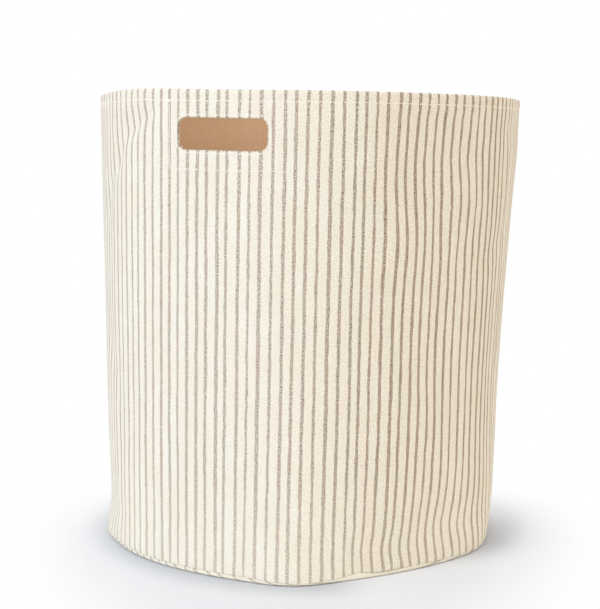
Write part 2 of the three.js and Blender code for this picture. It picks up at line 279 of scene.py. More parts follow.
def sagged(height, angle):
    """A height near the floor after the wall has sagged; the floor itself stays."""
    share = np.clip((height - sag_floor) / sag_ramp, 0, 1)
    share = share * bell(np.maximum(height - sag_top, 0), sag_fade)
    drop = sum(depth * bell(turn_between(angle, at), spread) for at, spread, depth in sags)
    return height - share * drop


def slumped(inset, height, direction, with_creases=True):
    """Places of points of the plain drum on the slumped bin, one row each."""
    inset, height, direction = np.broadcast_arrays(inset, height, direction)
    direction = direction + pulled(np.degrees(direction), height) / rim_radius
    angle = np.degrees(direction)
    rise = height / bin_height
    share = np.minimum(1, (rim_radius - inset) / (rim_radius - wall_zone))
    radius = rim_radius - inset + wall_shift(angle, height, with_creases) * share
    sideways = lean_shift * (1 - rise)
    tilt = rim_tilt * np.cos(direction - lean_direction) * rise
    crest = crest_rise * bell(turn_between(angle, crest_direction), crest_spread) * rise**2
    return settle + np.stack(
        [
            radius * np.cos(direction) + sideways * math.cos(lean_direction),
            radius * np.sin(direction) + sideways * math.sin(lean_direction),
            sagged(height, angle) + (tilt + crest) * share,
        ],
        axis=-1,
    )


# The solids stand centred over the origin, so the form is set over one of them
thread_ring = slumped(
    -thread_gap - thread_thickness, hem_stitch_height, np.radians(np.arange(0, 360, 5)), False
)
ring_low, ring_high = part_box("hem_needle_thread")
settle = (np.array(ring_low) + ring_high - thread_ring.min(0) - thread_ring.max(0)) / 2
settle[2] = 0
print("the form is set over by", np.round(settle * 1000, 2), "mm")

# %% [markdown]
# ## Working with operators
# The pieces are modelled with the same operators as by hand. Each acts on what is selected, and
# loading leaves the solids selected, so a piece is always picked by itself first. Faces and edges
# are then chosen by their place.

# %% Picking and choosing
def pick(piece):
    """Selects just this piece."""
    bpy.ops.object.select_all(action="DESELECT")
    piece.select_set(True)
    bpy.context.view_layer.objects.active = piece


def choose(piece, kind, wanted):
    """In edit mode, selects the faces, edges or vertices that pass a test."""
    bpy.ops.mesh.select_mode(type=kind)
    bpy.ops.mesh.select_all(action="DESELECT")
    shape = bmesh.from_edit_mesh(piece.data)
    parts = {"VERT": shape.verts, "EDGE": shape.edges, "FACE": shape.faces}[kind]
    for part in parts:
        if wanted(part):
            part.select_set(True)
    bmesh.update_edit_mesh(piece.data)


def middle_of(part):
    """The middle of an edge or a face."""
    return sum((v.co for v in part.verts), part.verts[0].co * 0) / len(part.verts)


def cut_lines(across=(), upwards=()):
    """In edit mode, cuts flat cloth along upright and level lines, and keeps both sides."""
    planes = [((x, 0, 0), (1, 0, 0)) for x in across]
    planes += [((0, y, 0), (0, 1, 0)) for y in upwards]
    for place, normal in planes:
        bpy.ops.mesh.select_all(action="SELECT")
        bpy.ops.mesh.bisect(plane_co=place, plane_no=normal)


def points_of(piece):
    """The piece's points, one row each."""
    points = np.empty(len(piece.data.vertices) * 3)
    piece.data.vertices.foreach_get("co", points)
    return points.reshape(-1, 3)


def move_points(piece, points):
    """Puts the piece's points in new places."""
    piece.data.vertices.foreach_set("co", np.asarray(points, float).ravel())
    piece.data.update()


# %% [markdown]
# ## Cutting cloth flat
# A ply starts as a flat grid, the size of the cut cloth. Before it is hung, its flat coordinates
# are written down as its UV map, in metres. That keeps the stripes true to the cloth: they bend
# where the cloth bends, and the wall's taper cuts them off at the side seams, as in a real bin.

# %% Cut and map
cell = 0.005


def drop_maps(piece):
    """Removes the UV maps that a new primitive brings."""
    while piece.data.uv_layers:
        piece.data.uv_layers.remove(piece.data.uv_layers[0])


def cut_cloth(name, left, right, bottom, top):
    """A flat grid of cloth in the XY plane, Y up the wall."""
    bpy.ops.object.select_all(action="DESELECT")
    bpy.ops.mesh.primitive_grid_add(
        x_subdivisions=round((right - left) / cell),
        y_subdivisions=round((top - bottom) / cell),
        size=1,
        location=((left + right) / 2, (bottom + top) / 2, 0),
    )
    cloth = bpy.context.object
    cloth.name = cloth.data.name = name
    cloth.scale = (right - left, top - bottom, 1)
    bpy.ops.object.transform_apply(location=True, rotation=True, scale=True)
    drop_maps(cloth)
    return cloth


def map_cloth(piece, x, y):
    """Writes a flat place for each vertex as the piece's UV map, in metres."""
    layer = piece.data.uv_layers.new(name="cloth")
    corners = np.empty(len(piece.data.loops), int)
    piece.data.loops.foreach_get("vertex_index", corners)
    layer.data.foreach_set("uv", np.stack([x, y], axis=1)[corners].ravel())


def taper(height):
    """How much narrower the wall is cut at a height than at the rim."""
    return 1 - (1 - height / bin_height) * (rim_radius - base_radius) / rim_radius


# %% [markdown]
# ### A slot in flat cloth
# A boolean would leave long, thin faces round the slot, and they would crumple when the cloth is
# bent. Instead a rectangle of cells is deleted, and the hole's edge is extruded inwards in rings
# that turn from that rectangle into the rounded slot. The rings lie close together at the edge,
# where the cloth will roll over, and beside the row of stitches.

# %% Open a slot
slot_width = 0.094
slot_height = 0.030
slot_corner = 0.0085
slot_middle = bin_height - 0.0265 - slot_height / 2
slot_border = 0.011
slot_rings = (
    *(0.0085, 0.0062, 0.0046, 0.0036, 0.0030, 0.0024),
    *(0.0018, 0.0013, 0.0009, 0.0005, 0.0002, 0),
)
hair = 1e-6


def onto_ring(x, y, margin):
    """The nearest point of the slot's outline, grown by a margin."""
    core_x = max(-slot_width / 2 + slot_corner, min(slot_width / 2 - slot_corner, x))
    core_y = max(-slot_height / 2 + slot_corner, min(slot_height / 2 - slot_corner, y))
    grown = (slot_corner + margin) / math.hypot(x - core_x, y - core_y)
    return core_x + (x - core_x) * grown, core_y + (y - core_y) * grown


def open_slot(cloth, smallest=0.0):
    """In edit mode, cuts the slot, or one that is larger all round by the smallest margin."""
    half_x = slot_width / 2 + slot_border
    half_y = slot_height / 2 + slot_border
    cut_lines((-half_x, half_x), (slot_middle - half_y, slot_middle + half_y))

    def inside(part):
        middle = middle_of(part)
        return abs(middle.x) < half_x + hair and abs(middle.y - slot_middle) < half_y + hair

    choose(cloth, "FACE", inside)
    bpy.ops.mesh.delete(type="FACE")
    choose(cloth, "EDGE", lambda edge: edge.is_boundary and inside(edge))
    for margin in slot_rings:
        if margin < smallest:
            break
        bpy.ops.mesh.extrude_region()
        shape = bmesh.from_edit_mesh(cloth.data)
        for vertex in shape.verts:
            if vertex.select:
                x, y = onto_ring(vertex.co.x, vertex.co.y - slot_middle, margin)
                vertex.co.x, vertex.co.y = x, slot_middle + y
        bmesh.update_edit_mesh(cloth.data)


def face_the_eye(cloth):
    """In edit mode, turns every face of a flat piece to look along +Z."""
    bpy.ops.mesh.select_all(action="SELECT")
    bpy.ops.mesh.normals_make_consistent(inside=False)
    shape = bmesh.from_edit_mesh(cloth.data)
    shape.faces.ensure_lookup_table()
    if shape.faces[0].normal.z < 0:
        bpy.ops.mesh.flip_normals()


# %% [markdown]
# ## Hanging the cloth
# A row of stitches pulls the plies together, so the cloth dips along it and puckers a little on
# both sides. The dips are part of the hanging, so the threads can be laid in them later.

# %% Stitch lines and their dips
slot_stitch_margin = 0.003
facing_shift = 0.0046
facing_half_width = slot_width / 2 + 0.016
facing_stitch_bottom = slot_middle - slot_height / 2 - 0.0185
stitch_dip = 0.00040
dip_spread = 0.0011
pucker = 0.00022
pucker_length = 0.0125
pucker_spread = 0.005
hem_row_inside = 2 * bin_height - hem_inset + math.pi * hem_inset / 2 - hem_stitch_height


def slot_distance(x, y):
    """How far a flat point lies outside the slot's outline."""
    over_x = np.abs(x) - slot_width / 2 + slot_corner
    over_y = np.abs(y - slot_middle) - slot_height / 2 + slot_corner
    outside = np.hypot(np.maximum(over_x, 0), np.maximum(over_y, 0))
    return outside + np.minimum(np.maximum(over_x, over_y), 0) - slot_corner


def facing_distance(x, y):
    """How far a flat point lies from the facing's three rows of stitches."""
    beside = np.abs(x - facing_shift) - facing_half_width
    side_rows = np.hypot(beside, np.maximum(facing_stitch_bottom - y, 0))
    bottom_row = np.hypot(y - facing_stitch_bottom, np.maximum(beside, 0))
    return np.minimum(side_rows, bottom_row)


def stitch_dips(x, y):
    """How far the stitches pull the wall's cloth in."""
    hem = np.minimum(np.abs(y - hem_stitch_height), np.abs(y - hem_row_inside))
    nearest = np.minimum(hem, np.abs(slot_distance(x, y) - slot_stitch_margin))
    below_hem = y < hem_stitch_height
    nearest = np.where(below_hem, np.minimum(nearest, facing_distance(x, y)), nearest)
    # The two small terms keep the puckers from coming at even steps
    waves = np.sin(2 * np.pi * x / pucker_length + 2.2 * np.sin(x * 41) + 1.4 * np.sin(x * 97))
    return stitch_dip * bell(nearest, dip_spread) + pucker * waves * bell(hem, pucker_spread)


# %% Hang a ply
lip_radius = 0.0016
smooth_below = math.radians(50)


def rolled(x, y, radius):
    """How far cloth rolls over towards the slot's edge, with a given radius of its own."""
    reach = np.clip(lip_radius - slot_distance(x, y), 0, radius)
    return radius - np.sqrt(np.maximum(radius**2 - reach**2, 0))


def thicken(piece, thickness):
    """Gives hung cloth its thickness, behind its outer face, and smooths it but for its edges."""
    modifier = piece.modifiers.new("thickness", "SOLIDIFY")
    modifier.thickness = thickness
    modifier.offset = -1
    modifier.use_even_offset = True
    pick(piece)
    bpy.ops.object.modifier_apply(modifier=modifier.name)
    bpy.ops.object.shade_smooth_by_angle(angle=smooth_below)


# %% [markdown]
# ## Materials
# The cloths share one idea: thread heights from two crossed sets of waves, where each in turn
# passes over the other. That is plain weave. The stripes are printed over it, so their edges are
# rough and the weave shows through as grain. All of it reads the cloth's own UV map, in metres.
#
# Such a pattern is a long sum, and a sum written node by node is hard to read. So each node's
# output is wrapped as a Field, and plus, minus and times on fields add the maths nodes.

# %% Fields
class Field:
    """Something that varies over a surface: one output of a node."""

    def __init__(self, socket):
        self.socket = socket
        self.tree = socket.id_data

    def __add__(self, other):
        return maths("ADD", self, other)

    def __sub__(self, other):
        return maths("SUBTRACT", self, other)

    def __rsub__(self, other):
        return maths("SUBTRACT", other, self)

    def __mul__(self, other):
        return maths("MULTIPLY", self, other)

    def __truediv__(self, other):
        return maths("DIVIDE", self, other)

    def __abs__(self):
        return maths("ABSOLUTE", self)


def put(socket, value):
    """Links a field to a socket, or sets the socket's number."""
    if isinstance(value, Field):
        socket.id_data.links.new(value.socket, socket)
    else:
        socket.default_value = value


def add_node(tree, kind, output, inputs, **settings):
    """Adds a node, sets it, fills its inputs and gives one of its outputs as a field."""
    node = tree.nodes.new("ShaderNode" + kind)
    for name, value in settings.items():
        setattr(node, name, value)
    for name, value in inputs.items():
        put(node.inputs[name], value)
    return Field(node.outputs[output])


def maths(operation, *values):
    """One maths node; at least one of its values is a field."""
    tree = next(value.tree for value in values if isinstance(value, Field))
    return add_node(tree, "Math", "Value", dict(enumerate(values)), operation=operation)


# %% Node helpers
def place_of(x, y):
    """A flat place from two coordinates."""
    return add_node(y.tree, "CombineXYZ", "Vector", {"X": x, "Y": y})


def length_of(place):
    """How far a place lies from the origin."""
    return add_node(place.tree, "VectorMath", "Value", {0: place}, operation="LENGTH")


def noise(place, scale, detail=2.0, roughness=0.5):
    """Smooth random values round a half, with so many waves to the metre."""
    inputs = {"Vector": place, "Scale": scale, "Detail": detail, "Roughness": roughness}
    return add_node(place.tree, "TexNoise", "Fac", inputs)


def streaks(x, y, scale_x, scale_y, detail=2.0):
    """Noise with its own scale each way."""
    return noise(place_of(x * scale_x, y * scale_y), 1, detail)


def step_between(value, low, high):
    """0 below the low value, 1 above the high one, and smooth between them."""
    inputs = {"Value": value, "From Min": low, "From Max": high}
    return add_node(value.tree, "MapRange", "Result", inputs, interpolation_type="SMOOTHSTEP")


def mix(share, first, second):
    """One colour where the share is 0, another where it is 1."""
    inputs = {"Factor": share, "A": first, "B": second}
    return add_node(share.tree, "Mix", "Result", inputs, data_type="RGBA")


def blend_of(first, second, share):
    """One value's share and the rest of another."""
    return first * share + second * (1 - share)


def colour(red, green, blue):
    """A colour as it looks on a screen, from 0 to 255, as the shader wants it."""
    parts = [value / 255 for value in (red, green, blue)]
    return (*[v / 12.92 if v <= 0.04045 else ((v + 0.055) / 1.055) ** 2.4 for v in parts], 1.0)


def cloth_place(tree):
    """The cloth's UV map as a place, and its two coordinates."""
    place = add_node(tree, "UVMap", "UV", {}, uv_map="cloth")
    x, y = (add_node(tree, "SeparateXYZ", axis, {"Vector": place}) for axis in "XY")
    return place, x, y


def weave(x, y, pitch):
    """Plain weave's height, from 0 to 1, with one thread to each pitch."""
    wave_x, wave_y = (maths("SINE", along * (math.pi / pitch)) for along in (x, y))
    warp, weft = abs(wave_x), abs(wave_y)
    over = maths("GREATER_THAN", wave_x * wave_y, 0.0)
    top = (warp - weft) * over + weft
    return top * ((warp + weft) * 0.25 + 0.5)


# %% Starting and finishing a material
finishes = {}


def new_finish(name, roughness, sheen=0.0, specular=0.25):
    """Starts a material, sets the numbers that are the same all over, and gives its tree."""
    material = bpy.data.materials.new(name.replace("_", " "))
    material.use_nodes = True
    finishes[name] = material
    shader = material.node_tree.nodes["Principled BSDF"]
    shader.inputs["Roughness"].default_value = roughness
    shader.inputs["Specular IOR Level"].default_value = specular
    shader.inputs["Sheen Weight"].default_value = sheen
    shader.inputs["Sheen Roughness"].default_value = 0.5
    return material.node_tree


def show(tree, look, height, relief):
    """Gives a material's shader its colour, and its relief in metres."""
    shader = tree.nodes["Principled BSDF"]
    put(shader.inputs["Base Color"], look)
    inputs = {"Strength": 1.0, "Distance": relief, "Height": height}
    put(shader.inputs["Normal"], add_node(tree, "Bump", "Normal", inputs))
    print(len(tree.nodes), "nodes")


# %% [markdown]
# ### Canvas
# Unbleached cotton has a warm, uneven white. Its threads vary in thickness, which shows as fine
# streaks along both directions of the weave, and they don't lie quite straight, so the weave's
# waves wander too. Between the threads it is greyer: that is the speckle. It is painted stronger
# towards one side of each panel: painted shade of the weave where the light rakes across it. A few
# flecks of seed husk are left in it, dark or rusty.

# %% Canvas ground
canvas_pitch = 0.00085
canvas_relief = 0.00018
canvas_wander = 0.0012
canvas_white = colour(248, 247, 243)
canvas_cream = colour(245, 242, 232)
canvas_blush = colour(247, 240, 232)
thread_shade = colour(219, 212, 198)
husk_brown = colour(112, 92, 76)
husk_rust = colour(176, 120, 78)
# Flat places across the cloth between which the speckle and the print turn darker: painted
# shade for the side of the wall that the light leaves and rakes across
side_shade_start, side_shade_end = 0.02, 0.20


def flecks(place, scale, low, high, gather):
    """Small dots, more of them in some places than in others, as a share from 0 to 1."""
    dense = step_between(noise(place, gather, 1), 0.40, 0.60)
    return step_between(noise(place, scale, 1, 0.3), low, high) * dense


def canvas_ground(tree):
    """The cloth's place and coordinates, and bare canvas's colour and thread height."""
    place, x, y = cloth_place(tree)
    patches = noise(place, 22, 3)
    thickness = blend_of(streaks(x, y, 900, 45), streaks(x, y, 45, 900), 0.5)
    wander = (noise(place, 300, 1) - 0.5) * canvas_wander
    knots = noise(place, 560, 2, 0.6)
    threads = weave(x + wander, y - wander, canvas_pitch) + thickness * 0.8 + knots * 0.4
    tone = step_between(blend_of(patches, thickness, 0.55), 0.36, 0.64)
    ground = mix(tone, canvas_cream, canvas_white)
    tall = step_between(streaks(x, y, 55, 3.5, 1), 0.42, 0.62)
    ground = mix(tall * 0.6, ground, canvas_blush)
    speckle = step_between(noise(place, 720, 2, 0.65), 0.43, 0.65)
    # The speckle is painted stronger towards one side of each panel: painted shade of the weave
    # where the light rakes across it
    weave_side_shade = step_between(x, side_shade_start, side_shade_end) * 0.55 + 0.45
    ground = mix(speckle * weave_side_shade, ground, thread_shade)
    ground = mix(flecks(place, 620, 0.715, 0.790, 60) * 0.5, ground, husk_brown)
    ground = mix(flecks(place, 571, 0.720, 0.795, 47) * 0.5, ground, husk_rust)
    return place, x, y, ground, threads


tree = new_finish("plain_canvas", 0.88, sheen=0.08)
place, x, y, ground, threads = canvas_ground(tree)
show(tree, ground, threads, canvas_relief)

# %% [markdown]
# ### Printed stripes
# The stripes look drawn by hand. Each one is off its even place by up to a millimetre or so, it
# wavers as it goes down, and its width swells and shrinks. The nearest stripe's number feeds a
# random value, so every stripe has its own; slow noise down the cloth gives the waver and the
# swelling.

# %% Where the print lies
stripe_pitch = 0.01102
stripe_phase = 0.0080
stripe_half_width = 0.00156
stripe_stray = 0.0022
width_change = 0.0006
slow_waver = 0.0022
quick_waver = 0.0015
swelling = 0.0014
edge_roughness = 0.0012

tree = new_finish("striped_canvas", 0.88, sheen=0.08)
place, x, y, ground, threads = canvas_ground(tree)
steps = (x - stripe_phase) / stripe_pitch
number = maths("ROUND", steps)


def random_stripe(seed):
    """A random value for each stripe, from -0.5 to 0.5."""
    inputs = {"W": number + seed}
    return add_node(tree, "TexWhiteNoise", "Value", inputs, noise_dimensions="1D") - 0.5


def down_stripe(seed, scale, detail=2.0):
    """Noise down each stripe, other for each, from about -0.5 to 0.5."""
    return noise(place_of(number * seed, y), scale, detail) - 0.5


waver = down_stripe(7.31, 9, 1) * slow_waver + down_stripe(3.17, 60) * quick_waver
off_centre = abs((steps - number) * stripe_pitch - random_stripe(3.37) * stripe_stray - waver)
half_width = random_stripe(61.7) * width_change + stripe_half_width
half_width = half_width + down_stripe(5.13, 45) * swelling
rough_edge = (noise(place, 1000, 2, 0.6) - 0.5) * edge_roughness
print_share = step_between(half_width - (off_centre + rough_edge), -0.00018, 0.00022)
print("a stripe each", stripe_pitch * 1000, "mm")

# %% [markdown]
# The print is paler and greyer towards one side of each panel and darker and browner towards
# the other: painted light and shade for the side of the wall that the light falls on and the
# side it leaves. It is warmer in some lengths of a stripe, and paler at the foot. It sits on top
# of the threads, so a fine grain breaks it up. Round the slot a brown band is painted on the cut
# edge: painted shade, where the edge lies in shadow.

# %% The ink
# The print's colours on the lit and on the shaded side of each panel: painted light and shade
lit_side_ink = (colour(148, 137, 125), colour(224, 215, 205))
shaded_side_ink = (colour(109, 93, 82), colour(206, 189, 172))
warm_ink = colour(198, 171, 156)
# Brown painted on the slot's cut edge: painted shade, where the edge lies in shadow
edge_shadow_brown = colour(100, 76, 58)
foot_fade_top = 0.13
edge_shade_start, edge_shade_end = 0.0003, 0.0013

grain = step_between(noise(place, 670, 2, 0.7), 0.37, 0.61)
# Towards one side of each panel the print turns darker and browner: painted shade
side_shade = step_between(x, side_shade_start, side_shade_end)
ink = mix(grain, *(mix(side_shade, thin, shaded_ink) for thin, shaded_ink in zip(lit_side_ink, shaded_side_ink)))
ink = mix(step_between(down_stripe(2.77, 16), -0.05, 0.15) * 0.25, ink, warm_ink)
worn_low = step_between(y, 0.0, foot_fade_top) * 0.22 + 0.75
printed = mix(print_share * worn_low, ground, ink)

# Round the slot a brown band, broken into specks, is painted on the cloth's cut edge where it
# rolls in: painted shade, where the edge lies in shadow
over_x = abs(x) - (slot_width / 2 - slot_corner)
over_y = abs(y - slot_middle) - (slot_height / 2 - slot_corner)
past_edge = length_of(place_of(*(maths("MAXIMUM", over, 0.0) for over in (over_x, over_y))))
near_edge = 1.0 - step_between(past_edge - slot_corner, edge_shade_start, edge_shade_end)
edge_specks = step_between(noise(place, 520, 2, 0.6), 0.40, 0.62)
printed = mix(near_edge * edge_specks * 0.75, printed, edge_shadow_brown)
show(tree, printed, threads, canvas_relief)

# %% [markdown]
# ### Lining, tape and thread
# The lining is a lighter, closer plain weave, dyed tan. The tape over the seams is a narrow twill,
# so its ribs run on the slant. The thread is bright white, with the fuzz of cotton.

# %% Lining
tree = new_finish("tan_lining", 0.85, sheen=0.06)
place, x, y = cloth_place(tree)
threads = weave(x, y, 0.0006)
slubs = streaks(x, y, 620, 28)
tone = step_between(blend_of(slubs, noise(place, 16, 3), 0.45), 0.30, 0.70)
tan = mix(tone, colour(236, 201, 166), colour(241, 209, 178))
tan = mix(step_between(threads, 0.0, 0.5) * 0.9, colour(212, 176, 140), tan)
mottle = step_between(noise(place, 520, 2, 0.65), 0.44, 0.68)
tan = mix(mottle * 0.40, tan, colour(212, 168, 130))
tan = mix(flecks(place, 470, 0.705, 0.775, 60) * 0.55, tan, colour(104, 74, 54))
show(tree, tan, slubs * 0.6 + threads, relief=0.00012)

# %% Tape
twill_pitch = 0.0011
tree = new_finish("cotton_tape", 0.85, sheen=0.1)
place, x, y = cloth_place(tree)
ribs = maths("SINE", (x + y) * (2 * math.pi / twill_pitch)) * 0.5 + 0.5
height = noise(place, 900) * 0.5 + ribs
tape_look = mix(step_between(height, 0.2, 1.2), colour(226, 214, 190), colour(242, 234, 216))
show(tree, tape_look, height, relief=0.00015)

# %% Thread
tree = new_finish("white_thread", 0.6, sheen=0.15, specular=0.35)
fibres = noise(add_node(tree, "TexCoord", "Object", {}), 2600, 2, 0.6)
thread_look = mix(step_between(fibres, 0.3, 0.7), colour(240, 237, 229), colour(253, 252, 248))
show(tree, thread_look, fibres, relief=0.0001)

# %% [markdown]
# ## The outer panels
# Two panels of striped canvas make the wall. Each covers half the drum. At the sides the canvas
# turns in and stands into the bin as a seam allowance. At the top it goes over the rim and down
# inside as the hem. Both turns are worked out here as arcs, so the flat cloth is bent and never
# stretched.

# %% Bending rules of the wall
side_allowance = 0.011
ridge_bottom = upstand_top + cloth_gap + tape_thickness + cloth_gap
ridge_top = hem_return_bottom - cloth_gap
ridge_depth = hem_inset + side_allowance
seam_turn = 0.0013
tuck_depth = 0.0006
tuck_spread = 0.0024


def bend_at(measure, start, radius, most):
    """How far round an arc a flat measure comes, in radians, and how far past the arc's end."""
    past = measure - start
    return np.clip(past / radius, 0, most), np.maximum(past - radius * most, 0)


def round_the_side(x, flange, turn_radius, inset):
    """Flat place across a panel to a turn from its middle and a depth, past the side turn."""
    start = rim_radius * math.pi / 2 - flange - turn_radius
    bend, beyond = bend_at(np.abs(x), start, turn_radius, math.pi / 2)
    along = np.where(bend > 0, start + turn_radius * np.sin(bend), np.abs(x))
    depth = turn_radius * (1 - np.cos(bend)) + beyond
    return np.sign(x) * along / rim_radius, inset + depth


def over_the_rim(y, depth):
    """Flat place up the canvas to an inset and a height, over the rim and down inside."""
    fold_radius = hem_inset / 2
    start = bin_height - fold_radius
    bend, beyond = bend_at(y, start, fold_radius, math.pi)
    radius = fold_radius - depth
    inset = fold_radius - radius * np.cos(bend)
    height = np.where(bend > 0, start + radius * np.sin(bend) - beyond, y)
    return inset, height


def seam_tuck(y):
    """How far the wall's lower edge is drawn in at the base seam."""
    return tuck_depth * bell(y - wall_bottom, tuck_spread)


canvas_top = bin_height + hem_inset / 2 * (math.pi - 2) + hem_return
canvas_flange = cloth_gap / 2
panel_half = rim_radius * math.pi / 2 - canvas_flange + seam_turn * (math.pi / 2 - 1)
canvas_half = panel_half + ridge_depth - seam_turn
print("a panel's cloth:", round(2 * canvas_half, 4), "by", round(canvas_top - wall_bottom, 4), "m")

# %% [markdown]
# The grid is cut closer where the cloth has to bend sharply: at the rim, at the side turns and on
# both sides of each row of stitches. The seam allowances stop below the hem, so their top corners
# are cut away, as a sewer clips them to lose bulk. The lining and the facings need the same steps,
# so cutting and hanging a ply are functions, and only the rule for its place is its own.

# %% Cut lines and plies
def lines_near(rows, steps):
    """Cut lines at given steps from each of some rows."""
    return [row + step for row in rows for step in steps]


def lines_at_sides(half, steps):
    """Cut lines at given steps from both side turns."""
    return [side * (half + step) for side in (-1, 1) for step in steps]


facing_sides = (facing_shift - facing_half_width, facing_shift + facing_half_width)
facing_lines = lines_near(facing_sides, (-0.0016, -0.0008, 0, 0.0008, 0.0016))
rim_lines = [bin_height - hem_inset / 2 + math.pi * hem_inset / 2 * step / 8 for step in range(9)]
stitch_lines = lines_near(
    (hem_stitch_height, facing_stitch_bottom, hem_row_inside),
    (-0.0022, -0.0014, -0.0007, 0, 0.0007, 0.0014, 0.0022),
)
lining_stitch_lines = [y for y in stitch_lines if y < lining_top]
foot_lines = lines_near([wall_bottom], (0.001, 0.002, 0.0032)) + [ridge_bottom, ridge_top]


def cut_ply(name, edges, across, upwards, seam_half=None, slot_margin=0.0):
    """Cuts a ply of the wall flat, with its slot and clipped corners, and maps it tapered."""

    def waste(face):
        middle = middle_of(face)
        return abs(middle.x) > seam_half and not ridge_bottom < middle.y < ridge_top

    ply = cut_cloth(name, *edges)
    pick(ply)
    bpy.ops.object.mode_set(mode="EDIT")
    cut_lines(across, upwards)
    if seam_half:
        choose(ply, "FACE", waste)
        bpy.ops.mesh.delete(type="FACE")
    open_slot(ply, slot_margin)
    face_the_eye(ply)
    bpy.ops.object.mode_set(mode="OBJECT")
    x, y, _ = points_of(ply).T
    map_cloth(ply, x * taper(y), y)
    return ply


def finish_piece(piece, node, slot):
    """Puts the finished piece in the place of its plain solid."""
    piece.data.materials.clear()
    piece.data.materials.append(finishes[slot])
    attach(piece, "root")
    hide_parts(node)
    print(f"{piece.name}: {len(piece.data.vertices)} vertices")


def hang(ply, rule, slot_angle, thickness):
    """Puts a flat ply on the drum by its rule, slumps it, and gives it its thickness."""
    x, y, _ = points_of(ply).T
    inset, height, turn = rule(x, y)
    move_points(ply, slumped(inset, height, slot_angle + turn))
    thicken(ply, thickness)


# %% Cut, hang and thicken the outer panels
sides = (("front", -math.pi / 2), ("back", math.pi / 2))


def lay_canvas(x, y):
    """The rule for an outer panel: inset, height and turn from the slot of a flat point."""
    turn, depth = round_the_side(x, canvas_flange, seam_turn, 0)
    depth = depth + rolled(x, y, lip_radius) + stitch_dips(x, y) + seam_tuck(y)
    inset, height = over_the_rim(y, depth)
    return inset, height, turn


for side, slot_angle in sides:
    panel = cut_ply(
        f"canvas_panel_{side}",
        (-canvas_half, canvas_half, wall_bottom, canvas_top),
        lines_at_sides(panel_half, (-0.0022, -0.0016, -0.001, -0.0005, 0)) + facing_lines,
        rim_lines + stitch_lines + foot_lines,
        panel_half,
    )
    hang(panel, lay_canvas, slot_angle, canvas_thickness)
    finish_piece(panel, f"outer_panel_{side}", "striped_canvas")

# %% [markdown]
# ## The lining panels
# The lining is the ply that the hand meets inside. It is cut and hung like the canvas, a little
# further in. It has no hem of its own, because its top edge is caught under the canvas's hem, and
# its slot is larger, so that the canvas's rolled edge has room to turn in front of it.

# %% Cut, hang and thicken the lining panels
lining_flange = canvas_flange + canvas_thickness + cloth_gap
lining_turn = 0.0009
lining_half = rim_radius * math.pi / 2 - lining_flange + lining_turn * (math.pi / 2 - 1)
lining_cloth_half = lining_half + ridge_depth - lining_inset - lining_turn
lining_slot_margin = 0.0013
lining_dip_share = 0.65


def lay_lining(x, y):
    """The rule for a lining panel."""
    turn, inset = round_the_side(x, lining_flange, lining_turn, lining_inset)
    return inset + lining_dip_share * stitch_dips(x, y) + seam_tuck(y), y, turn


for side, slot_angle in sides:
    panel = cut_ply(
        f"lining_cloth_{side}",
        (-lining_cloth_half, lining_cloth_half, wall_bottom, lining_top),
        lines_at_sides(lining_half, (-0.0014, -0.0009, -0.0004, 0)) + facing_lines,
        lining_stitch_lines + foot_lines,
        lining_half,
        lining_slot_margin,
    )
    hang(panel, lay_lining, slot_angle, lining_thickness)
    finish_piece(panel, f"lining_panel_{side}", "tan_lining")
    2 * lining_cloth_half

# %% [markdown]
# ## The facings
# Behind each slot lies a patch of plain canvas. It takes the pull of the fingers and finishes the
# slot's edge: its own slot edge turns outwards to meet the canvas, and a row of stitches close to
# the edge holds both. Below the bottom row its loose edge ripples a little.

# %% Cut, hang and thicken the facings
facing_allowance = 0.004
facing_bottom = facing_stitch_bottom - facing_allowance
facing_half = facing_half_width + facing_allowance
facing_slot_margin = 0.0009
ripple_length = 0.017
ripple_size = 0.00025
ripple_reach = 0.007


def lay_facing(x, y):
    """The rule for a facing's outer face."""
    turned_out = rolled(x, y, lip_radius - facing_thickness)
    ripple = np.sin(x * 2 * math.pi / ripple_length + 0.8) * bell(y - facing_bottom, ripple_reach)
    inset = facing_inset - turned_out + np.minimum(ripple_size * ripple, 0)
    return inset, y, x / rim_radius


for side, slot_angle in sides:
    facing = cut_ply(
        f"facing_patch_{side}",
        (facing_shift - facing_half, facing_shift + facing_half, facing_bottom, lining_top),
        facing_lines,
        lining_stitch_lines,
        slot_margin=facing_slot_margin,
    )
    hang(facing, lay_facing, slot_angle, facing_thickness)
    finish_piece(facing, f"handle_facing_{side}", "plain_canvas")

# %% [markdown]
# ## The base
# The base is a disc of striped canvas, larger than the bin is wide. Its edge rolls up to the
# seam, passes under the wall and stands up inside it. A disc like this is a job for Spin: its
# section is drawn by pushing a vertex from point to point, then it is turned once round the axis.
# The stripes are mapped flat, as the disc was cut.

# %% Spinning helpers
spin_steps = 180
seed_size = 0.001
weld = 0.00002


def arc(centre, radius, first, last, steps):
    """Points of an arc in a section: insets and heights, angles in degrees from inward level."""
    turns = np.radians(np.linspace(first, last, steps))
    return [(centre[0] + radius * math.cos(t), centre[1] + radius * math.sin(t)) for t in turns]


